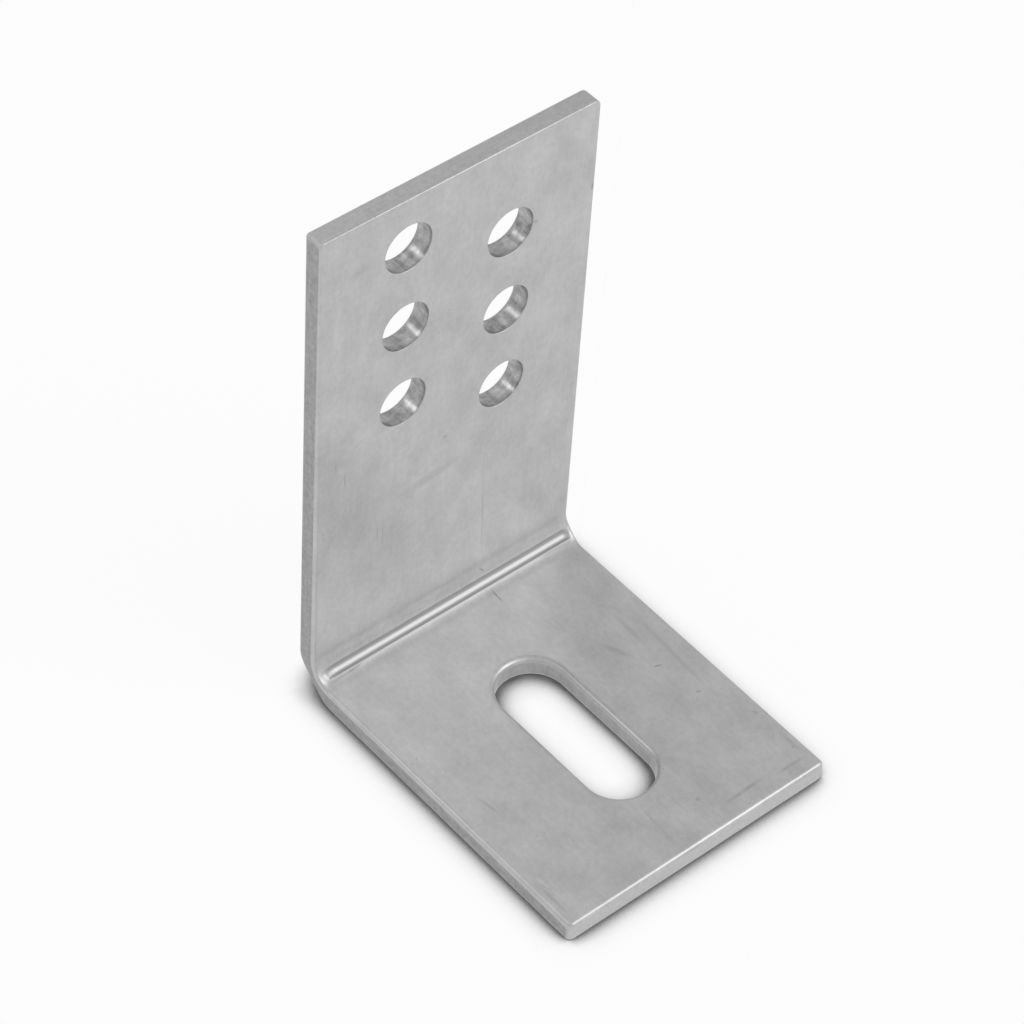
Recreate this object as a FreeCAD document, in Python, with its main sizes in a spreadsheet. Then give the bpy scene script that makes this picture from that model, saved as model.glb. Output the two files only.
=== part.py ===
"""One-piece angle bracket, blanked from thick plate, punched and folded once.

Frame: X runs along the fold, the base leg points to -Y and the wall leg stands up in +Z at the back.
The origin is the middle of the footprint, on the underside of the base.
"""
import FreeCAD, Part
import math
import os

import Sketcher
from FreeCAD import Vector

NODE = "angle_bracket"

# Driving dimensions in millimetres.
SIZES = {
    # Folded plate
    "leg_width": 60.0,
    "wall_height": 110.0,
    "base_depth": 75.0,
    "thickness": 4.0,
    "bend_radius": 5.0,
    # Rounding of the blanked outline
    "corner_round": 0.8,
    "edge_round": 0.5,
    # At each end of the fold the metal swells on the inside and draws in on the outside
    "bend_swell": 0.4,
    "bend_draw": 0.6,
    # Line pressed along the inside of the fold by the nose of the folding tool
    "nose_radius": 1.5,
    "nose_depth": 0.45,
    "nose_left_margin": 2.4,
    "nose_right_margin": 1.0,
    # Punched holes in two columns, the right-hand column lower than the left
    "hole_size": 10.0,
    "hole_pitch": 18.0,
    "holes_in_column": 3,
    "hole_stagger": 9.0,
    "column_spacing": 22.5,
    "top_margin": 11.0,
    "hole_rim": 0.12,
    # Punched slot, its long way across the fold, drawn down round its upper edge where the punch enters
    "slot_length": 37.0,
    "slot_width": 14.0,
    "front_margin": 15.0,
    "slot_rollover": 0.5,
    "slot_rim": 0.15,
}

# Places that several features share, as expressions of the sheet.
SIDE = "Sizes.leg_width / 2"
BACK = "Sizes.base_depth / 2"
FRONT = "-Sizes.base_depth / 2"
OUTER_RADIUS = "(Sizes.bend_radius + Sizes.thickness)"
BEND_Y = f"({BACK} - {OUTER_RADIUS})"
BEND_Z = OUTER_RADIUS

# Sections set out along the fold's quarter turn.
STATIONS = 9
# Two lengths closer than this are the same.
NEAR = 1e-4

doc = FreeCAD.newDocument(NODE)


def make_sheet():
    """Spreadsheet that holds every driving dimension as a plain number with an alias."""
    table = doc.addObject("Spreadsheet::Sheet", "Sizes")
    for row, (alias, number) in enumerate(SIZES.items(), start=1):
        table.set(f"A{row}", alias)
        table.set(f"B{row}", str(number))
        table.setAlias(f"B{row}", alias)
    doc.recompute()
    return table


sheet = make_sheet()


def value(expression):
    """Number that an expression of the sheet stands for."""
    return float(sheet.evalExpression(expression))


def add_sketch(body, name, role, across="0", up="0", along="0"):
    """Sketch on one of the body's own origin planes, shifted in it and along its normal."""
    plane = next(item for item in body.Origin.OriginFeatures if item.Role == role)
    sketch = body.newObject("Sketcher::SketchObject", name)
    sketch.AttachmentSupport = [(plane, "")]
    sketch.MapMode = "FlatFace"
    for axis, expression in zip("xyz", (across, up, along)):
        sketch.setExpression(f".AttachmentOffset.Base.{axis}", expression)
    doc.recompute()
    return sketch


def bind(sketch, name, expression, *constraint):
    """Named constraint whose value follows an expression of the sheet."""
    index = sketch.addConstraint(Sketcher.Constraint(*constraint, value(expression)))
    sketch.renameConstraint(index, name)
    sketch.setExpression(f"Constraints.{name}", expression)


def add_loop(sketch, pieces, smooth=()):
    """Closed chain of lines and arcs; a piece listed in smooth runs on into the next without a corner."""
    first = sketch.GeometryCount
    for piece in pieces:
        sketch.addGeometry(piece)
    for step in range(len(pieces)):
        kind = "Tangent" if step in smooth else "Coincident"
        following = first + (step + 1) % len(pieces)
        sketch.addConstraint(Sketcher.Constraint(kind, first + step, 2, following, 1))
    return first


def add_constraints(sketch, *constraints):
    """Constraints without a value, each given as a tuple."""
    for constraint in constraints:
        sketch.addConstraint(Sketcher.Constraint(*constraint))


def add_rectangle(sketch, left, bottom, right, top):
    """Rectangle whose four sides each follow an expression."""
    x_low, y_low, x_high, y_high = (value(side) for side in (left, bottom, right, top))
    corners = [Vector(x_low, y_low), Vector(x_high, y_low), Vector(x_high, y_high), Vector(x_low, y_high)]
    sides = [Part.LineSegment(start, end) for start, end in zip(corners, corners[1:] + corners[:1])]
    first = add_loop(sketch, sides)
    add_constraints(sketch, ("Horizontal", first), ("Horizontal", first + 2))
    add_constraints(sketch, ("Vertical", first + 1), ("Vertical", first + 3))
    bind(sketch, "left", left, "DistanceX", -1, 1, first, 1)
    bind(sketch, "bottom", bottom, "DistanceY", -1, 1, first, 1)
    bind(sketch, "right", right, "DistanceX", -1, 1, first + 2, 1)
    bind(sketch, "top", top, "DistanceY", -1, 1, first + 2, 1)


def quarter(centre, radius, start_angle):
    """Arc of a quarter turn, anticlockwise from a start angle in degrees."""
    start = math.radians(start_angle)
    circle = Part.Circle(Vector(*centre), Vector(0, 0, 1), radius)
    return Part.ArcOfCircle(circle, start, start + math.pi / 2)


def cut(body, name, sketch):
    """Pocket right through the metal on both sides of the sketch."""
    pocket = body.newObject("PartDesign::Pocket", name)
    pocket.Profile = sketch
    pocket.Type = "ThroughAll"
    pocket.Midplane = True
    doc.recompute()
    return pocket


def soften(body, kind, name, size, is_wanted):
    """Fillet or chamfer on those edges of the body's last feature that a test picks out."""
    last = body.Tip
    names = [f"Edge{n}" for n, edge in enumerate(last.Shape.Edges, start=1) if is_wanted(edge)]
    softened = body.newObject(f"PartDesign::{kind}", name)
    softened.Base = (last, names)
    softened.setExpression("Radius" if kind == "Fillet" else "Size", size)
    doc.recompute()


def middle_of(edge):
    return edge.valueAt((edge.FirstParameter + edge.LastParameter) / 2)


def make_leg(name, plane, bend_line, end, along):
    """Flat leg from the fold's bend line to its free end, with its outline rounded as blanked."""
    body = doc.addObject("PartDesign::Body", name)
    outline = add_sketch(body, f"{name}_outline", plane, along=along)
    low, high = sorted((bend_line, end), key=value)
    add_rectangle(outline, f"-{SIDE}", low, SIDE, high)
    pad = body.newObject("PartDesign::Pad", f"{name}_plate")
    pad.Profile = outline
    pad.setExpression("Length", "Sizes.thickness")
    doc.recompute()
    soften(body, "Fillet", f"{name}_corners", "Sizes.corner_round", is_corner)
    soften(body, "Fillet", f"{name}_edges", "Sizes.edge_round", is_outline)
    return body


def rounded_loop(corners, radius):
    """Closed wire through straight sides and one arc at each corner."""
    edges, ends = [], []
    for before, corner, after in zip(corners[-1:] + corners[:-1], corners, corners[1:] + corners[:1]):
        back, forth = (before - corner).normalize(), (after - corner).normalize()
        half = back.getAngle(forth) / 2
        start, end = (corner + way * (radius / math.tan(half)) for way in (back, forth))
        top = corner + (back + forth).normalize() * (radius / math.sin(half) - radius)
        edges.append(Part.Arc(start, top, end).toShape())
        ends.append((start, end))
    for number, (leaving, entering) in enumerate(zip(ends, ends[1:] + ends[:1])):
        edges.insert(2 * number + 1, Part.LineSegment(leaving[1], entering[0]).toShape())
    return Part.Wire(edges)


def fold_section(angle):
    """Section of the fold in the plane through its axis at one angle, from the wall round to the base."""
    bend_y, bend_z = value(BEND_Y), value(BEND_Z)
    bulge = math.sin(2 * angle) ** 2
    skins = (
        (value("Sizes.bend_radius"), value(SIDE) + value("Sizes.bend_swell") * bulge),
        (value(OUTER_RADIUS), value(SIDE) - value("Sizes.bend_draw") * bulge),
    )
    (inner, swollen), (outer, drawn) = skins
    corners = [
        Vector(x, bend_y + radius * math.cos(angle), bend_z - radius * math.sin(angle))
        for x, radius in ((-swollen, inner), (swollen, inner), (drawn, outer), (-drawn, outer))
    ]
    return rounded_loop(corners, value("Sizes.edge_round"))


def make_fold():
    """Quarter turn between the legs, swollen at its ends on the inside and drawn in on the outside."""
    fold = doc.addObject("Part::Feature", "fold")
    angles = [math.pi / 2 * station / (STATIONS - 1) for station in range(STATIONS)]
    fold.Shape = Part.makeLoft([fold_section(angle) for angle in angles], True)
    return fold


def is_corner(edge):
    """Edge through the plate's thickness at a free corner of a leg."""
    middle = middle_of(edge)
    at_end = middle.z > value("Sizes.wall_height") - NEAR or middle.y < value(FRONT) + NEAR
    at_side = abs(abs(middle.x) - value(SIDE)) < NEAR
    return at_end and at_side and abs(edge.Length - value("Sizes.thickness")) < NEAR


def is_outline(edge):
    """Edge of a leg's outline on one of its skins, apart from those along and through the bend line."""
    middle = middle_of(edge)
    at_bend_line = abs(middle.z - value(BEND_Z)) < NEAR or abs(middle.y - value(BEND_Y)) < NEAR
    through = edge.Length < value("Sizes.thickness") + NEAR and isinstance(edge.Curve, Part.Line)
    return not at_bend_line and not through


def punch_holes(body):
    """Two first holes, repeated down the wall."""
    sketch = add_sketch(body, "first_holes", "XZ_Plane")
    top = "Sizes.wall_height - Sizes.top_margin"
    places = {
        "left": ("-Sizes.column_spacing / 2", top),
        "right": ("Sizes.column_spacing / 2", f"{top} - Sizes.hole_stagger"),
    }
    for name, (across, up) in places.items():
        centre = Vector(value(across), value(up))
        hole = sketch.addGeometry(Part.Circle(centre, Vector(0, 0, 1), value("Sizes.hole_size / 2")))
        bind(sketch, f"{name}_across", across, "DistanceX", -1, 1, hole, 3)
        bind(sketch, f"{name}_up", up, "DistanceY", -1, 1, hole, 3)
        bind(sketch, f"{name}_size", "Sizes.hole_size", "Diameter", hole)
    first_row = cut(body, "first_row", sketch)
    rows = body.newObject("PartDesign::LinearPattern", "hole_rows")
    rows.Originals = [first_row]
    rows.Direction = (sketch, ["V_Axis"])
    rows.Reversed = True
    rows.setExpression("Length", "Sizes.hole_pitch * (Sizes.holes_in_column - 1)")
    rows.setExpression("Occurrences", "Sizes.holes_in_column")
    body.Tip = rows
    doc.recompute()


def punch_slot(body):
    """Round-ended slot in the base."""
    sketch = add_sketch(body, "slot_outline", "XY_Plane")
    radius = value("Sizes.slot_width / 2")
    near = value(f"{FRONT} + Sizes.front_margin + Sizes.slot_width / 2")
    far = value(f"{FRONT} + Sizes.front_margin + Sizes.slot_length - Sizes.slot_width / 2")
    far_circle = Part.Circle(Vector(0, far), Vector(0, 0, 1), radius)
    near_circle = Part.Circle(Vector(0, near), Vector(0, 0, 1), radius)
    first = add_loop(sketch, [
        Part.LineSegment(Vector(radius, near), Vector(radius, far)),
        Part.ArcOfCircle(far_circle, 0, math.pi),
        Part.LineSegment(Vector(-radius, far), Vector(-radius, near)),
        Part.ArcOfCircle(near_circle, math.pi, 2 * math.pi),
    ], smooth=(0, 1, 2, 3))
    right, far_end, left, near_end = range(first, first + 4)
    add_constraints(
        sketch,
        ("PointOnObject", far_end, 3, -2),
        ("PointOnObject", near_end, 3, -2),
        ("Vertical", right),
    )
    bind(sketch, "half_width", "Sizes.slot_width / 2", "Radius", far_end)
    bind(sketch, "near_centre", f"{FRONT} + Sizes.front_margin + Sizes.slot_width / 2",
         "DistanceY", -1, 1, near_end, 3)
    bind(sketch, "between_centres", "Sizes.slot_length - Sizes.slot_width",
         "DistanceY", near_end, 3, far_end, 3)
    cut(body, "slot", sketch)


def press_nose_line(body):
    """Round-ended groove along the inside of the fold, cut by turning half of the tool's nose."""
    offset = "(Sizes.bend_radius + Sizes.nose_depth - Sizes.nose_radius) * sqrt(0.5)"
    sketch = add_sketch(body, "nose_outline", "XY_Plane", "0", f"{BEND_Y} + {offset}", f"{BEND_Z} - {offset}")
    radius = value("Sizes.nose_radius")
    left = value(f"-{SIDE} + Sizes.nose_left_margin")
    right = value(f"{SIDE} - Sizes.nose_right_margin")
    first = add_loop(sketch, [
        Part.LineSegment(Vector(left, 0), Vector(right, 0)),
        quarter((right - radius, 0), radius, 0),
        Part.LineSegment(Vector(right - radius, radius), Vector(left + radius, radius)),
        quarter((left + radius, 0), radius, 90),
    ], smooth=(1, 2))
    axis, right_end, crest, left_end = range(first, first + 4)
    add_constraints(
        sketch,
        ("PointOnObject", axis, 1, -1),
        ("PointOnObject", axis, 2, -1),
        ("PointOnObject", right_end, 3, -1),
        ("PointOnObject", left_end, 3, -1),
        ("Horizontal", crest),
    )
    bind(sketch, "radius", "Sizes.nose_radius", "Radius", right_end)
    bind(sketch, "left", f"-{SIDE} + Sizes.nose_left_margin", "DistanceX", -1, 1, axis, 1)
    bind(sketch, "right", f"{SIDE} - Sizes.nose_right_margin", "DistanceX", -1, 1, axis, 2)
    groove = body.newObject("PartDesign::Groove", "nose_line")
    groove.Profile = sketch
    groove.ReferenceAxis = (sketch, ["H_Axis"])
    groove.Angle = 360
    doc.recompute()


def is_hole_rim(edge):
    """Round edge of a punched hole, on either skin."""
    curve = edge.Curve
    return isinstance(curve, Part.Circle) and abs(curve.Radius - value("Sizes.hole_size / 2")) < NEAR


def is_slot_edge(edge, level):
    """Edge of the slot at a level of the base."""
    middle = middle_of(edge)
    near = value(f"{FRONT} + Sizes.front_margin")
    in_slot = near - NEAR < middle.y < near + value("Sizes.slot_length") + NEAR
    return abs(middle.z - level) < NEAR and in_slot and abs(middle.x) < value("Sizes.slot_width / 2") + NEAR


def make_bracket():
    """The finished bracket: two legs joined by their fold, then holes, slot and pressed line."""
    plate = doc.addObject("Part::MultiFuse", "folded_plate")
    plate.Shapes = [
        make_leg("wall", "XZ_Plane", BEND_Z, "Sizes.wall_height", FRONT),
        make_leg("base", "XY_Plane", BEND_Y, FRONT, "0"),
        make_fold(),
    ]
    doc.recompute()
    body = doc.addObject("PartDesign::Body", NODE)
    body.Label = NODE
    body.BaseFeature = plate
    doc.recompute()
    punch_holes(body)
    punch_slot(body)
    press_nose_line(body)
    soften(body, "Chamfer", "hole_rims", "Sizes.hole_rim", is_hole_rim)
    upper_level = value("Sizes.thickness")
    soften(body, "Fillet", "slot_mouth", "Sizes.slot_rollover", lambda edge: is_slot_edge(edge, upper_level))
    soften(body, "Chamfer", "slot_exit", "Sizes.slot_rim", lambda edge: is_slot_edge(edge, 0))
    body.Placement = FreeCAD.Placement()
    return body


def check(body):
    """Stop if a feature failed, if a cut removed nothing or if the result isn't one sound solid."""
    doc.recompute()
    failed = [item.Name for item in doc.Objects if {"Invalid", "Error"} & set(item.State)]
    if failed:
        raise RuntimeError(f"failed: {failed}")
    steps = [item for item in body.Group if getattr(item, "BaseFeature", None) and item is not body.Group[0]]
    idle = [item.Name for item in steps if item.Shape.Volume > item.BaseFeature.Shape.Volume - NEAR]
    sound = not body.Shape.isNull() and body.Shape.isValid() and len(body.Shape.Solids) == 1
    if idle or not sound:
        raise RuntimeError(f"without effect: {idle}, one sound solid: {sound}")


bracket = make_bracket()
check(bracket)
os.makedirs("parts", exist_ok=True)
bracket.Shape.exportStep(f"parts/{NODE}.step")
box = bracket.Shape.optimalBoundingBox()
print(f"{NODE}: {box.XLength:.2f} x {box.YLength:.2f} x {box.ZLength:.2f} mm, {bracket.Shape.Volume:.0f} mm3")
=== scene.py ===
"""Folded angle bracket of thick stainless plate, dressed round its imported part.

The visible piece is made as the real one is: a flat blank is cut with its holes and its slot, then it
is folded. Lengths are in millimetres until the finished mesh is brought to metres.
"""

import math

import bmesh
import bpy
from mathutils import Matrix, Vector


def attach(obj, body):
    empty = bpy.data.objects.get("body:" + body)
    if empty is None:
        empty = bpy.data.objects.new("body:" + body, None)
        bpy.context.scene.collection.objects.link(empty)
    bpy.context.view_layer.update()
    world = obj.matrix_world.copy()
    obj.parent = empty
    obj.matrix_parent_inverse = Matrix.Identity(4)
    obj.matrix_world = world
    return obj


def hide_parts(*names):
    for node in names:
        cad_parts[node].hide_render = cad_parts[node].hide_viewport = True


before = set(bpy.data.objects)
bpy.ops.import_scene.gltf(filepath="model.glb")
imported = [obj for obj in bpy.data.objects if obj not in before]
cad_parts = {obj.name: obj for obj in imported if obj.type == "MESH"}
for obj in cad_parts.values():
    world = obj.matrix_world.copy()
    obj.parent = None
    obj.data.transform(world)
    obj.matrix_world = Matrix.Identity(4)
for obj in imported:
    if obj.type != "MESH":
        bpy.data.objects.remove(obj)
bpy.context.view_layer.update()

MM = 0.001
NODE = "angle_bracket"

# Folded plate
LEG_WIDTH = 60.0
WALL_HEIGHT = 110.0
FOOT_DEPTH = 75.0
THICKNESS = 4.0
BEND_RADIUS = 5.0
SIDE = LEG_WIDTH / 2
# Middle of the bend's turn, seen along the fold
BEND_Y = FOOT_DEPTH / 2 - THICKNESS - BEND_RADIUS
BEND_Z = THICKNESS + BEND_RADIUS

# The flat blank: x across it, y from the wall's free end to the foot's with 0 where the bend starts,
# and -z into its thickness from the skin that ends up inside the fold.
NEUTRAL_DEPTH = 0.42
BEND_LENGTH = math.pi / 2 * (BEND_RADIUS + NEUTRAL_DEPTH * THICKNESS)
WALL_END = BEND_Z - WALL_HEIGHT
FOOT_END = BEND_LENGTH + BEND_Y + FOOT_DEPTH / 2

# Corners of the blank: the wall end's left and right, then the foot end's left and right
CORNER_ROUNDS = (0.7, 1.5, 1.1, 1.2)
# Strip of flat skin kept beside every rounded edge, so that the skin's shading stays flat
SKIN_STRIP = 0.2
# Rounds of the cut edges, each as (across the skin, down the cut). The shear left the wall's end crisp
# inside and rounded outside, and drew the inner edge down along the sides and the foot's end. Across
# and the skin's strip together stay below the corner beside them.
CRISP_EDGE = (0.22, 0.22)
ROUNDED_EDGE = (0.5, 0.5)
SIDE_EDGE_AT_WALL = (0.35, 0.4)
SIDE_EDGE_AT_FOOT = (0.85, 1.2)
FRONT_EDGE = (0.85, 0.85)
HOLE_INNER_EDGE = (0.12, 0.14)
HOLE_OUTER_EDGE = (0.12, 0.12)
SLOT_INNER_EDGE = (1.2, 0.9)
SLOT_OUTER_EDGE = (0.25, 0.25)
# Painted highlight along the foot's lower rims, on the blank's z
RIM_HIGHLIGHT_PLACE = 0.15 - THICKNESS
RIM_HIGHLIGHT_REACH = 0.12

# At the ends of the fold the metal swells on the inside and draws in on the outside.
BEND_SWELL = 0.3
BEND_DRAW = 0.6
SWELL_REACH = 7.0

# Punched holes and slot
HOLE_RADIUS = 5.0
HOLE_PITCH = 18.0
HOLES_IN_COLUMN = 3
HOLE_STAGGER = 9.0
COLUMN_SPACING = 22.5
TOP_MARGIN = 11.0
SLOT_LENGTH = 37.0
SLOT_WIDTH = 14.0
FRONT_MARGIN = 15.0

# Line pressed by the nose of the folding tool, in the middle of the fold. It starts and ends on a slope.
NOSE_DEPTH = 0.34
NOSE_HALF_WIDTH = 1.05
NOSE_LEFT = -SIDE + 2.0
NOSE_RIGHT = SIDE - 1.0
NOSE_LEFT_SLOPE = 2.4
NOSE_RIGHT_SLOPE = 1.6
NOSE_TURN = math.radians(46)
# Band on either side of the line, burnished by the nose along its middle and painted with shade beside it:
# how far it reaches, and how far it starts from the plate's sides
SHADE_BAND_TO_FOOT = 1.7
SHADE_BAND_TO_WALL = 1.1
SHADE_BAND_MARGIN = 0.7
SHADE_BAND_SLOPE = 1.4
# Towards the foot the painted shade reaches further near the line's ends.
SHADE_WIDENING = 0.9
SHADE_WIDENING_REACH = 4.5

# Points closer than this count as one.
SAME_PLACE = 1e-4

# Steps of the rounds, of each loop all the way round, and of the bend
EDGE_STEPS = 6
HOLE_EDGE_STEPS = 3
SLOT_EDGE_STEPS = 8
OUTLINE_STEPS = 24
HOLE_STEPS = 96
SLOT_STEPS = 128
BEND_STEPS = 24

# Slots of the piece's materials
SKIN, SHEARED, PUNCHED = range(3)

# Scratches and smudges of the shop floor; the four marks with along 5.4 to 7.2 are painted shade at the
# fold's ends. On the blank: x, along, half length, half width, turn in degrees and strength
DARK_MARKS_AND_SHADE = (
    (8.6, -15.0, 18.2, 0.16, 88.4, 0.39), (9.2, 10.0, 3.4, 0.3, 91.0, 0.6),
    (9.1, 2.2, 1.4, 0.35, 60.0, 0.45), (-25.8, -46.9, 1.9, 0.22, 88.4, 0.45),
    (-23.7, -42.5, 2.9, 0.2, 87.9, 0.39), (-16.1, -24.2, 4.1, 0.16, 88.6, 0.39),
    (-14.8, -23.3, 4.1, 0.16, 87.8, 0.33), (-3.8, -31.4, 9.0, 1.6, -6.7, 0.21),
    (-21.6, -90.6, 2.9, 1.5, -17.8, 0.22), (-1.3, -39.5, 0.6, 0.5, 0.0, 0.52),
    (16.8, -80.5, 0.8, 0.5, 30.0, 0.45), (29.4, -81.7, 1.3, 0.35, 90.0, 0.6),
    (24.0, -93.0, 6.5, 3.2, 50.0, 0.18), (14.0, 72.4, 6.2, 0.6, -1.9, 0.33),
    (23.1, 50.2, 0.7, 0.4, 20.0, 0.52), (27.9, 60.2, 0.8, 0.4, 70.0, 0.45),
    (6.2, 68.8, 0.6, 0.5, 0.0, 0.39), (-3.2, 67.8, 5.1, 0.16, -86.6, 0.33),
    (2.8, 66.8, 3.4, 0.16, 87.5, 0.26), (21.4, 41.1, 1.3, 0.25, 20.0, 0.6),
    (17.7, 33.5, 5.0, 0.9, 66.5, 0.26), (23.1, 31.4, 6.0, 0.8, -87.0, 0.21),
    (25.6, 39.5, 14.6, 0.7, -86.6, 0.18), (-28.4, 5.4, 1.3, 1.9, 0.0, 0.5),
    (29.3, 5.4, 0.8, 1.4, 0.0, 0.35), (-24.2, 7.2, 4.6, 0.9, 0.0, 0.85),
    (-28.3, 70.5, 4.5, 0.6, 90.0, 0.3), (24.5, 73.2, 4.5, 0.5, 0.0, 0.3),
    (28.2, 69.0, 4.0, 0.6, 90.0, 0.26), (25.0, 7.1, 4.6, 0.8, 0.0, 0.6),
    (-23.8, 47.3, 3.4, 0.5, 82.0, 0.26),
)
PALE_MARKS = (
    (-26.0, -75.0, 24.0, 1.6, 90.0, 0.16), (-27.2, 68.0, 6.0, 0.25, 82.0, 0.3),
    (5.0, -85.0, 10.0, 6.0, 70.0, 0.06), (-8.0, 22.0, 9.0, 5.0, 20.0, 0.06),
)
# The marks reach through the plate, so both of its skins show them.
MARK_DEPTH = 1000.0

# The floor, in metres: how far it reaches from the middle, and how far it lies below the bracket, so that
# the two flat faces share no plane. It is shaded where metal stands over it within the contact reach.
FLOOR_REACH = 6.0
FLOOR_DROP = 0.02 * MM
CONTACT_REACH = 7 * MM
# Share of plain white in the floor, as the camera sees it and as the metal does
WHITE_FOR_CAMERA = 0.92
WHITE_FOR_METAL = 0.4

# The studio, in metres: the surround's strength and each lamp's name, place, size and power in watts
SURROUND = 0.64
LAMPS = (
    ("key", (0.69, -0.88, 0.94), 1.0, 4.6),
    ("top", (0.05, 0.75, 1.25), 0.6, 0.3),
    ("rim", (-0.72, 0.56, 0.78), 0.35, 0.6),
)
LAMPS_AIM = Vector((0, 0, 0.04))

# The camera, in millimetres: at the photograph's place, above and beyond the foot's front left corner
CAMERA_PLACE = (-330.1, -338.2, 554.1)
CAMERA_AIM = (27.65, 46.1, 0.0)
CAMERA_ROLL = math.radians(3.92)
CAMERA_VIEW = math.radians(14.419)


def round_edge(across, down, segments):
    """Quarter round between skin and cut wall, as (distance back from the wall, depth) pairs."""
    turns = [math.pi / 2 * step / segments for step in range(segments + 1)]
    return [(across * (1 - math.sin(turn)), down * (1 - math.cos(turn))) for turn in turns]


def edge_profile(inner, outer, segments):
    """Path over a cut edge, from the inner skin to the outer one; inner and outer are the two rounds."""
    into = round_edge(*inner, segments)
    out_of = [(back, THICKNESS - depth) for back, depth in reversed(round_edge(*outer, segments))]
    start, end = into[-1][1], out_of[0][1]
    wall = [(0.0, start + (end - start) * share) for share in (0.25, 0.5, 0.75)]
    return [(inner[0] + SKIN_STRIP, 0.0), *into, *wall, *out_of, (outer[0] + SKIN_STRIP, THICKNESS)]


def sweep_loop(bm, centre, half_x, half_y, rounds, air, profiles, material, segments):
    """Carry an edge's path round a loop with round corners; air is 1 outside the loop and -1 inside it.

    The loop starts as a circle whose four quarters are moved apart, each with its own radius. Its paths
    are those at the wall's end, at the sides near it, at the sides near the foot's end and at that end.
    The rounds between the skins and the cut keep the skin's material. Returns the two end rings.
    """
    way = bm.verts.layers.float_vector["way"]
    turn = Matrix.Rotation(math.pi / segments, 4, "Z")
    ring = bmesh.ops.create_circle(bm, segments=segments, radius=1.0, matrix=turn)["verts"]
    for vert in ring:
        vert[way] = vert.co.normalized()
    first = edges = list({edge for vert in ring for edge in vert.link_edges})
    steps = len(profiles[0])
    # Rings over one round; the three rings on the wall and the two on the skins aren't among them.
    rolled = (steps - 5) // 2
    for step in range(steps):
        if step:
            made = bmesh.ops.extrude_edge_only(bm, edges=edges)["geom"]
            ring = [item for item in made if isinstance(item, bmesh.types.BMVert)]
            new_edges = [item for item in made if isinstance(item, bmesh.types.BMEdge)]
            edges = [edge for edge in new_edges if set(edge.verts) <= set(ring)]
            for face in (item for item in made if isinstance(item, bmesh.types.BMFace)):
                face.material_index = material if rolled < step < steps - rolled else SKIN
        for vert in ring:
            side, end = (1, 0) if vert[way].y < 0 else (2, 3)
            near_side, at_end = Vector(profiles[side][step]), Vector(profiles[end][step])
            set_back, depth = near_side.lerp(at_end, abs(vert[way].y))
            radius = rounds[(vert[way].x > 0) + 2 * (vert[way].y > 0)]
            out = vert[way] * (radius - air * set_back)
            vert.co = centre + out + Vector((
                math.copysign(half_x - radius, out.x), math.copysign(half_y - radius, out.y), -depth))
    return first, edges


def make_blank():
    """Flat blank with its rounded outline, six holes and slot, closed by its two skins."""
    bm = bmesh.new()
    bm.verts.layers.float_vector.new("way")
    outline = [
        edge_profile(CRISP_EDGE, ROUNDED_EDGE, EDGE_STEPS),
        edge_profile(SIDE_EDGE_AT_WALL, ROUNDED_EDGE, EDGE_STEPS),
        edge_profile(SIDE_EDGE_AT_FOOT, CRISP_EDGE, EDGE_STEPS),
        edge_profile(FRONT_EDGE, CRISP_EDGE, EDGE_STEPS),
    ]
    half_length = (FOOT_END - WALL_END) / 2
    middle = Vector((0, WALL_END + half_length, 0))
    rings = [sweep_loop(bm, middle, SIDE, half_length, CORNER_ROUNDS, 1, outline, SHEARED, OUTLINE_STEPS)]
    hole = [edge_profile(HOLE_INNER_EDGE, HOLE_OUTER_EDGE, HOLE_EDGE_STEPS)] * 4
    rounds = [HOLE_RADIUS] * 4
    for side in (-1, 1):
        for row in range(HOLES_IN_COLUMN):
            along = WALL_END + TOP_MARGIN + row * HOLE_PITCH + (HOLE_STAGGER if side > 0 else 0)
            middle = Vector((side * COLUMN_SPACING / 2, along, 0))
            rings.append(sweep_loop(
                bm, middle, HOLE_RADIUS, HOLE_RADIUS, rounds, -1, hole, PUNCHED, HOLE_STEPS))
    slot = [edge_profile(SLOT_INNER_EDGE, SLOT_OUTER_EDGE, SLOT_EDGE_STEPS)] * 4
    middle = Vector((0, FOOT_END - FRONT_MARGIN - SLOT_LENGTH / 2, 0))
    rounds = [SLOT_WIDTH / 2] * 4
    rings.append(sweep_loop(
        bm, middle, SLOT_WIDTH / 2, SLOT_LENGTH / 2, rounds, -1, slot, PUNCHED, SLOT_STEPS))
    for skin in (0, 1):
        edges = [edge for ring in rings for edge in ring[skin]]
        bmesh.ops.triangle_fill(bm, use_beauty=True, use_dissolve=False, edges=edges)
    bm.verts.layers.float_vector.remove(bm.verts.layers.float_vector["way"])
    return bm


def cut_across(bm, axis, places, start, end):
    """Cut the faces between two distances along the blank at every place along an axis."""
    normal = Vector((1, 0, 0)) if axis == 0 else Vector((0, 1, 0))
    for place in places:
        geometry = set()
        for face in bm.faces:
            reach = [vert.co[axis] for vert in face.verts]
            along = [vert.co.y for vert in face.verts]
            if min(reach) < place < max(reach) and min(along) < end and max(along) > start:
                geometry.update((face, *face.verts, *face.edges))
        bmesh.ops.bisect_plane(
            bm, geom=list(geometry), dist=SAME_PLACE / 10, plane_co=normal * place, plane_no=normal)


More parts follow.
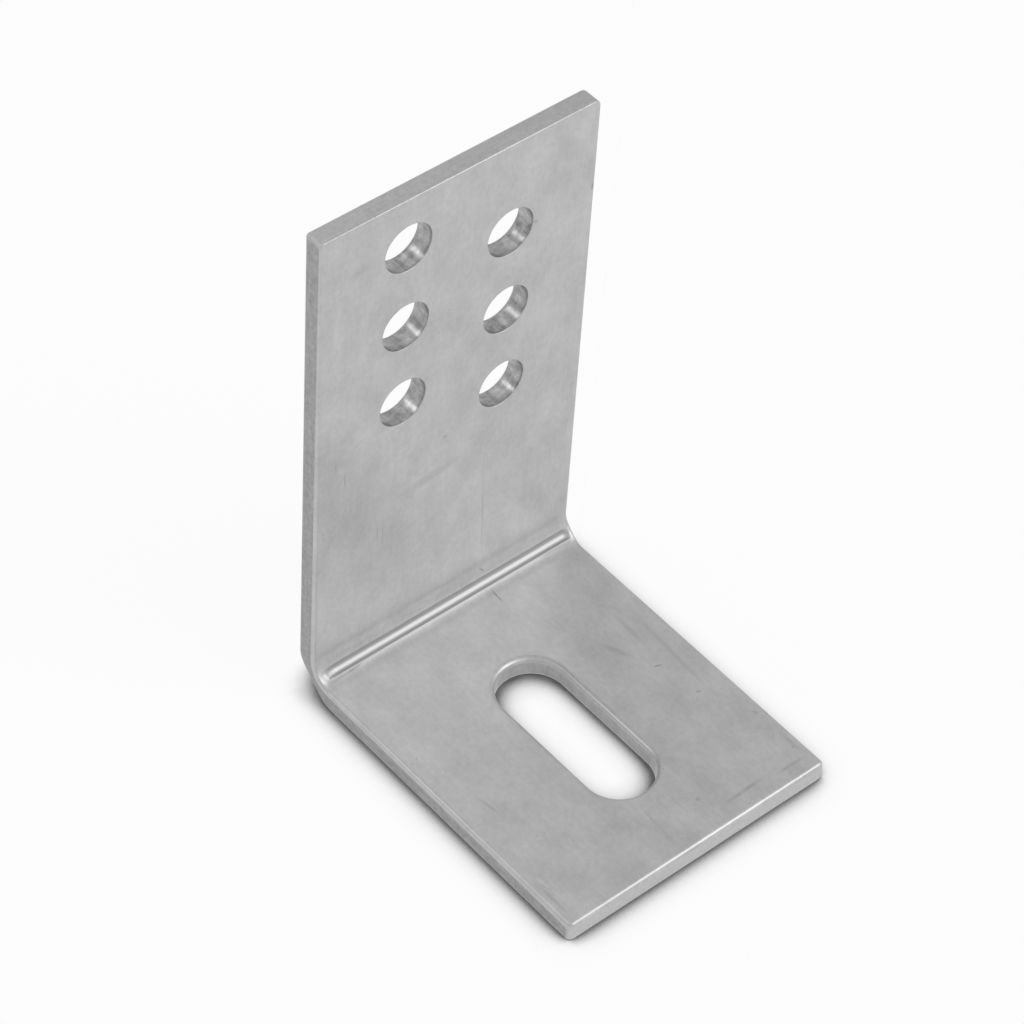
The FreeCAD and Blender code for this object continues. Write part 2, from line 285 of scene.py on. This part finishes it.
def cut_bend(bm):
    """Cut the flat blank finely where it will bend: evenly, and closer at the pressed line and the sides."""
    nose_along = NOSE_TURN / (math.pi / 2) * BEND_LENGTH
    nose_reach = NOSE_HALF_WIDTH / (math.pi / 2 * BEND_RADIUS) * BEND_LENGTH
    # From 1.2 half widths on the wall's side of the line to 1.8 on the foot's, where the painted shade
    # reaches further
    nose_cuts = [nose_along + nose_reach * step / 10 for step in range(-12, 19)]
    bend_cuts = [BEND_LENGTH * step / BEND_STEPS for step in range(BEND_STEPS + 1)]
    # The even cuts keep clear of the finer ones.
    clear = 0.2
    clear_cuts = [cut for cut in bend_cuts if not nose_cuts[0] - clear < cut < nose_cuts[-1] + clear]
    skin_cuts = [-SKIN_STRIP, BEND_LENGTH + SKIN_STRIP]
    cut_across(bm, 1, [skin_cuts[0], *clear_cuts, *nose_cuts, skin_cuts[1]], 0, BEND_LENGTH)
    near_side = [SIDE - SWELL_REACH + SWELL_REACH / 10 * step for step in range(10)]
    left_slope = [NOSE_LEFT + NOSE_LEFT_SLOPE * step / 8 for step in range(9)]
    right_slope = [NOSE_RIGHT - NOSE_RIGHT_SLOPE * step / 8 for step in range(9)]
    across_cuts = [*near_side, *(-place for place in near_side), *left_slope, *right_slope]
    cut_across(bm, 0, across_cuts, 0, BEND_LENGTH)


def ease(value):
    """Smooth rise from 0 to 1."""
    value = min(max(value, 0.0), 1.0)
    return value * value * (3 - 2 * value)


def pressed_line(x, turn):
    """Depth of the tool's oval line below the inside of the fold, and how strongly the band there is
    burnished and painted with shade, up to 1.
    """
    across = (turn - NOSE_TURN) * BEND_RADIUS
    from_left, from_right = x - NOSE_LEFT, NOSE_RIGHT - x
    slope = math.sqrt(ease(from_left / NOSE_LEFT_SLOPE) * ease(from_right / NOSE_RIGHT_SLOPE))
    oval = math.sqrt(max(1 - (across / NOSE_HALF_WIDTH) ** 2, 0.0))
    # The band of painted shade reaches further towards the foot, and further still near the line's ends.
    shade_band = SHADE_BAND_TO_WALL
    if across > 0:
        shade_band = SHADE_BAND_TO_FOOT + SHADE_WIDENING * math.exp(-(min(from_left, from_right) / SHADE_WIDENING_REACH) ** 2)
    burnish_and_shade = ease((SIDE - SHADE_BAND_MARGIN - abs(x)) / SHADE_BAND_SLOPE) * max(1 - abs(across) / shade_band, 0.0)
    return slope * NOSE_DEPTH * oval, burnish_and_shade


def fold(bm):
    """Bend the blank through a quarter turn, with the swell and draw of thick plate at the fold's ends.

    Each point keeps its place on the flat blank as an attribute, and as another how strongly it is
    burnished and painted with shade beside the pressed line; the materials read both.
    """
    blank = bm.verts.layers.float_vector.new("blank")
    pressed = bm.verts.layers.float.new("pressed")
    for vert in bm.verts:
        vert[blank] = vert.co
        x, along, depth = vert.co.x, vert.co.y, -vert.co.z
        turn = min(max(along / BEND_LENGTH, 0.0), 1.0) * math.pi / 2
        share = depth / THICKNESS
        if depth < SAME_PLACE:
            bite, vert[pressed] = pressed_line(x, turn)
            depth += bite
        at_end = ease((abs(x) - SIDE + SWELL_REACH) / SWELL_REACH) * math.sin(2 * turn) ** 2
        swell = (BEND_SWELL * (1 - share) - BEND_DRAW * share) * at_end
        radius = BEND_RADIUS + depth
        vert.co = Vector((
            x + math.copysign(1, x) * swell,
            BEND_Y + radius * math.cos(turn) - max(along - BEND_LENGTH, 0.0),
            BEND_Z - radius * math.sin(turn) - min(along, 0.0),
        ))


def link(name, bm):
    """New object at the origin that holds a finished bmesh."""
    mesh = bpy.data.meshes.new(name)
    bm.to_mesh(mesh)
    bm.free()
    piece = bpy.data.objects.new(name, mesh)
    bpy.context.scene.collection.objects.link(piece)
    return piece


def make_plate():
    """The folded plate as one closed, smoothly shaded mesh in metres."""
    bm = make_blank()
    cut_bend(bm)
    fold(bm)
    bmesh.ops.remove_doubles(bm, verts=bm.verts, dist=SAME_PLACE)
    bmesh.ops.recalc_face_normals(bm, faces=bm.faces)
    bmesh.ops.scale(bm, vec=Vector((MM, MM, MM)), verts=bm.verts)
    for face in bm.faces:
        face.smooth = True
    return link("folded_plate", bm)


def linear(hex_colour):
    """sRGB hex colour as linear RGBA."""
    channels = [int(hex_colour[place:place + 2], 16) / 255 for place in (1, 3, 5)]
    return [c / 12.92 if c <= 0.04045 else ((c + 0.055) / 1.055) ** 2.4 for c in channels] + [1.0]


def add_node(tree, kind, settings=None, inputs=None):
    """One node with its settings, and with its inputs each a value or another node's output."""
    node = tree.nodes.new(kind)
    for name, setting in (settings or {}).items():
        setattr(node, name, setting)
    for key, source in (inputs or {}).items():
        if isinstance(source, bpy.types.NodeSocket):
            tree.links.new(source, node.inputs[key])
        else:
            node.inputs[key].default_value = source
    return node


def new_metal(name, roughness):
    """Bare metal with its node tree, its shader and the place on the blank in millimetres."""
    material = bpy.data.materials.new(name)
    material.use_nodes = True
    tree = material.node_tree
    shader = tree.nodes["Principled BSDF"]
    shader.inputs["Metallic"].default_value = 1.0
    shader.inputs["Roughness"].default_value = roughness
    place = add_node(tree, "ShaderNodeAttribute", {"attribute_name": "blank"}).outputs["Vector"]
    return material, tree, shader, place


def patches(tree, place, size, detail, roughness):
    """Soft patches between 0 and 1, size millimetres long in x, y and z of the blank."""
    pitch = add_node(tree, "ShaderNodeVectorMath", {"operation": "DIVIDE"}, {0: place, 1: size})
    return add_node(tree, "ShaderNodeTexNoise", None, {
        "Vector": pitch.outputs[0], "Scale": 1.0, "Detail": detail, "Roughness": roughness,
    }).outputs["Fac"]


def dull_and_bright(tree, tone, dark, light):
    """Metal's colour, from a dark hex colour to a light one as the tone of its patches rises.

    The tone lies between 0.3 and 0.7 nearly everywhere.
    """
    share = add_node(tree, "ShaderNodeMapRange", None, {"Value": tone, "From Min": 0.3, "From Max": 0.7})
    return add_node(tree, "ShaderNodeMix", {"data_type": "RGBA"}, {
        0: share.outputs[0], 6: linear(dark), 7: linear(light)}).outputs[2]


def cover_marks(tree, place, marks):
    """How far soft-edged oval marks cover the blank, added up."""
    total = 0.0
    for x, along, half_length, half_width, turn, strength in marks:
        inside = add_node(tree, "ShaderNodeMapping", {"vector_type": "TEXTURE"}, {
            "Vector": place, "Location": (x, along, 0), "Rotation": (0, 0, math.radians(turn)),
            "Scale": (half_length, half_width, MARK_DEPTH)})
        reach = add_node(tree, "ShaderNodeVectorMath", {"operation": "LENGTH"}, {0: inside.outputs[0]})
        mark = add_node(tree, "ShaderNodeMapRange", {"interpolation_type": "SMOOTHSTEP"}, {
            "Value": reach.outputs["Value"], "From Min": 1.0, "From Max": 0.2,
            "To Min": 0.0, "To Max": strength})
        total = add_node(tree, "ShaderNodeMath", {"operation": "ADD"}, {
            0: mark.outputs[0], 1: total}).outputs[0]
    return total


def rolled_skin():
    """Cold-rolled stainless plate: dull satin, finely lined the way it was rolled, softly clouded.

    The line pressed inside the fold is burnished smoother along its middle, with painted shade beside it.
    """
    material, tree, shader, place = new_metal("cold_rolled_stainless", 0.42)
    # The real grain is finer than a pixel, so it is drawn 0.4 mm wide.
    grain = patches(tree, place, (0.4, 14.0, 50.0), 3.0, 0.6)
    clouds = patches(tree, place, (6.0, 9.0, 50.0), 3.0, 0.55)
    flecks = patches(tree, place, (1.0, 1.3, 50.0), 3.0, 0.65)
    tone = clouds
    for share, layer in ((0.4, flecks), (0.13, grain)):
        tone = add_node(tree, "ShaderNodeMix", {"data_type": "FLOAT"}, {
            0: share, 2: tone, 3: layer}).outputs[0]
    colour = dull_and_bright(tree, tone, "#BEBEBE", "#DADADA")
    # Pits are finer too, so a few are drawn coarser, as the darkest spots of 0.7 mm patches.
    pits = patches(tree, place, (0.7, 0.7, 50.0), 1.0, 0.5)
    pits = add_node(tree, "ShaderNodeMapRange", None, {
        "Value": pits, "From Min": 0.73, "From Max": 0.8, "To Max": 0.4}).outputs[0]
    # The flecks break up the marks.
    rub = add_node(tree, "ShaderNodeMapRange", None, {
        "Value": flecks, "From Min": 0.35, "From Max": 0.6, "To Min": 0.35, "To Max": 1.0}).outputs[0]
    # The dark marks also hold painted shade at the fold's ends.
    dark_marks_and_shade, pale_marks = (
        add_node(tree, "ShaderNodeMath", {"operation": "MULTIPLY", "use_clamp": True}, {
            0: cover_marks(tree, place, marks), 1: rub}).outputs[0]
        for marks in (DARK_MARKS_AND_SHADE, PALE_MARKS))
    pressed = add_node(tree, "ShaderNodeAttribute", {"attribute_name": "pressed"}).outputs["Fac"]
    # Painted shade on either side of the pressed line, and burnish along its middle
    shade_band, burnish = (
        add_node(tree, "ShaderNodeMapRange", {"interpolation_type": "SMOOTHSTEP"}, {
            "Value": pressed, "From Min": start, "From Max": end}).outputs[0]
        for start, end in ((0.12, 0.36), (0.4, 0.75)))
    # A thin painted highlight runs along the foot's lower rims.
    where = add_node(tree, "ShaderNodeSeparateXYZ", None, {0: place}).outputs
    at_rim = add_node(tree, "ShaderNodeMath", {"operation": "COMPARE"}, {
        0: where["Z"], 1: RIM_HIGHLIGHT_PLACE, 2: RIM_HIGHLIGHT_REACH}).outputs[0]
    on_foot = add_node(tree, "ShaderNodeMath", {"operation": "GREATER_THAN"}, {
        0: where["Y"], 1: BEND_LENGTH}).outputs[0]
    rim_highlight = add_node(tree, "ShaderNodeMath", {"operation": "MULTIPLY"}, {0: at_rim, 1: on_foot}).outputs[0]
    layers = (
        (pits, "#808080"), (dark_marks_and_shade, "#6E6E6E"), (pale_marks, "#F0F0F0"),
        (shade_band, "#B4B4B4"), (burnish, "#AEAEAE"), (rim_highlight, "#FAFAFA"))
    for share, shade in layers:
        colour = add_node(tree, "ShaderNodeMix", {"data_type": "RGBA"}, {
            0: share, 6: colour, 7: linear(shade)}).outputs[2]
    tree.links.new(colour, shader.inputs["Base Color"])
    dull = add_node(tree, "ShaderNodeMapRange", None, {"Value": tone, "To Min": 0.36, "To Max": 0.48})
    dull = add_node(tree, "ShaderNodeMix", {"data_type": "FLOAT"}, {0: burnish, 2: dull.outputs[0], 3: 0.34})
    tree.links.new(dull.outputs[0], shader.inputs["Roughness"])
    bump = add_node(tree, "ShaderNodeBump", None, {"Strength": 0.15, "Distance": 0.1 * MM, "Height": flecks})
    tree.links.new(bump.outputs[0], shader.inputs["Normal"])
    return material


def sheared_edge():
    """Sheared edge of the plate: torn grey metal, duller than the skin, lined along the cut and pitted.

    The cuts at both ends are lighter than those along the sides.
    """
    material, tree, shader, place = new_metal("sheared_steel_edge", 0.5)
    lines = patches(tree, place, (9.0, 9.0, 0.5), 3.0, 0.6)
    # The torn grit is finer than a pixel, so its clumps are drawn 0.9 mm wide.
    grit = patches(tree, place, (0.9, 0.9, 0.9), 4.0, 0.75)
    tone = add_node(tree, "ShaderNodeMix", {"data_type": "FLOAT"}, {0: 0.7, 2: lines, 3: grit}).outputs[0]
    colour = dull_and_bright(tree, tone, "#9A9A9A", "#C6C6C6")
    along = add_node(tree, "ShaderNodeSeparateXYZ", None, {0: place}).outputs["Y"]
    for end, inwards, share in ((WALL_END, 1, 0.3), (FOOT_END, -1, 0.45)):
        at_end = add_node(tree, "ShaderNodeMapRange", None, {
            "Value": along, "From Min": end + 1.2 * inwards, "From Max": end + 0.4 * inwards,
            "To Max": share}).outputs[0]
        colour = add_node(tree, "ShaderNodeMix", {"data_type": "RGBA"}, {
            0: at_end, 6: colour, 7: linear("#F0F0F0")}).outputs[2]
    tree.links.new(colour, shader.inputs["Base Color"])
    bump = add_node(tree, "ShaderNodeBump", None, {"Strength": 0.2, "Distance": 0.1 * MM, "Height": grit})
    tree.links.new(bump.outputs[0], shader.inputs["Normal"])
    return material


def punched_wall():
    """Wall left by a punch: burnished, blotched and streaked along the stroke; calmer in the slot."""
    material, tree, shader, place = new_metal("punched_steel_wall", 0.29)
    streaks = patches(tree, place, (0.7, 0.7, 5.0), 3.0, 0.6)
    blotches = patches(tree, place, (2.0, 2.0, 1.2), 4.0, 0.65)
    along = add_node(tree, "ShaderNodeSeparateXYZ", None, {0: place}).outputs["Y"]
    in_slot = add_node(tree, "ShaderNodeMapRange", None, {
        "Value": along, "From Max": BEND_LENGTH, "To Max": 0.7}).outputs[0]
    tone = streaks
    for share, layer in ((0.65, blotches), (in_slot, 0.5)):
        tone = add_node(tree, "ShaderNodeMix", {"data_type": "FLOAT"}, {
            0: share, 2: tone, 3: layer}).outputs[0]
    tree.links.new(dull_and_bright(tree, tone, "#808080", "#D6D6D6"), shader.inputs["Base Color"])
    bump = add_node(tree, "ShaderNodeBump", None, {
        "Strength": 0.25, "Distance": 0.1 * MM, "Height": blotches})
    tree.links.new(bump.outputs[0], shader.inputs["Normal"])
    return material


def make_floor():
    """White-painted floor, matt, lifted towards white for the camera and for the bracket's metal."""
    bm = bmesh.new()
    bmesh.ops.create_grid(bm, x_segments=1, y_segments=1, size=FLOOR_REACH)
    floor = link("floor", bm)
    floor.location.z = -FLOOR_DROP
    material = bpy.data.materials.new("matt_white_paint")
    material.use_nodes = True
    tree = material.node_tree
    shader = tree.nodes["Principled BSDF"]
    shader.inputs["Roughness"].default_value = 0.9
    rays = add_node(tree, "ShaderNodeLightPath").outputs
    # The floor is painted darker, as a contact shadow, where the bracket's edges stand close over it.
    open_air = add_node(tree, "ShaderNodeAmbientOcclusion", {"samples": 8}, {"Distance": CONTACT_REACH})
    open_air = add_node(tree, "ShaderNodeMapRange", {"interpolation_type": "SMOOTHSTEP"}, {
        "Value": open_air.outputs["AO"], "From Min": 0.5, "From Max": 0.95}).outputs[0]
    colour = add_node(tree, "ShaderNodeMix", {"data_type": "RGBA"}, {
        0: open_air, 6: linear("#6E6E6E"), 7: linear("#F4F4F4")}).outputs[2]
    colour = add_node(tree, "ShaderNodeMix", {"data_type": "RGBA"}, {
        0: rays["Is Camera Ray"], 6: linear("#F4F4F4"), 7: colour}).outputs[2]
    tree.links.new(colour, shader.inputs["Base Color"])
    for_metal = add_node(tree, "ShaderNodeMath", {"operation": "MULTIPLY"}, {
        0: rays["Is Glossy Ray"], 1: WHITE_FOR_METAL}).outputs[0]
    for_camera = add_node(tree, "ShaderNodeMath", {"operation": "MULTIPLY"}, {
        0: rays["Is Camera Ray"], 1: WHITE_FOR_CAMERA}).outputs[0]
    lift = add_node(tree, "ShaderNodeMath", {"operation": "MULTIPLY_ADD"}, {
        0: for_camera, 1: open_air, 2: for_metal}).outputs[0]
    white = add_node(tree, "ShaderNodeEmission", None, {"Color": (1, 1, 1, 1), "Strength": 1.0})
    lifted = add_node(tree, "ShaderNodeMixShader", None, {
        0: lift, 1: shader.outputs[0], 2: white.outputs[0]})
    tree.links.new(lifted.outputs[0], tree.nodes["Material Output"].inputs["Surface"])
    floor.data.materials.append(material)


def add_lamp(name, place, size, power):
    """Soft round lamp that faces the bracket."""
    data = bpy.data.lights.new(name, "AREA")
    data.shape = "DISK"
    data.size = size
    data.energy = power
    lamp = bpy.data.objects.new(name, data)
    lamp.location = place
    lamp.rotation_euler = (LAMPS_AIM - Vector(place)).to_track_quat("-Z", "Y").to_euler()
    bpy.context.scene.collection.objects.link(lamp)


def add_camera():
    """Camera that looks down at the bracket the way the photograph does."""
    place, aim = Vector(CAMERA_PLACE) * MM, Vector(CAMERA_AIM) * MM
    data = bpy.data.cameras.new("camera")
    data.angle = CAMERA_VIEW
    camera = bpy.data.objects.new("camera", data)
    look = (aim - place).to_track_quat("-Z", "Y").to_matrix().to_4x4()
    camera.matrix_world = Matrix.Translation(place) @ look @ Matrix.Rotation(CAMERA_ROLL, 4, "Z")
    bpy.context.scene.collection.objects.link(camera)
    bpy.context.scene.camera = camera


def light_studio():
    """Even pale surround with soft lamps: to the front right, above behind and behind the left."""
    world = bpy.data.worlds.new("studio")
    world.use_nodes = True
    background = world.node_tree.nodes["Background"]
    background.inputs["Color"].default_value = (1, 1, 1, 1)
    background.inputs["Strength"].default_value = SURROUND
    bpy.context.scene.world = world
    for lamp in LAMPS:
        add_lamp(*lamp)
    bpy.context.scene.view_settings.view_transform = "Standard"


plate = make_plate()
for finish in (rolled_skin(), sheared_edge(), punched_wall()):
    plate.data.materials.append(finish)
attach(plate, "root")
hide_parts(NODE)
make_floor()
light_studio()
add_camera()
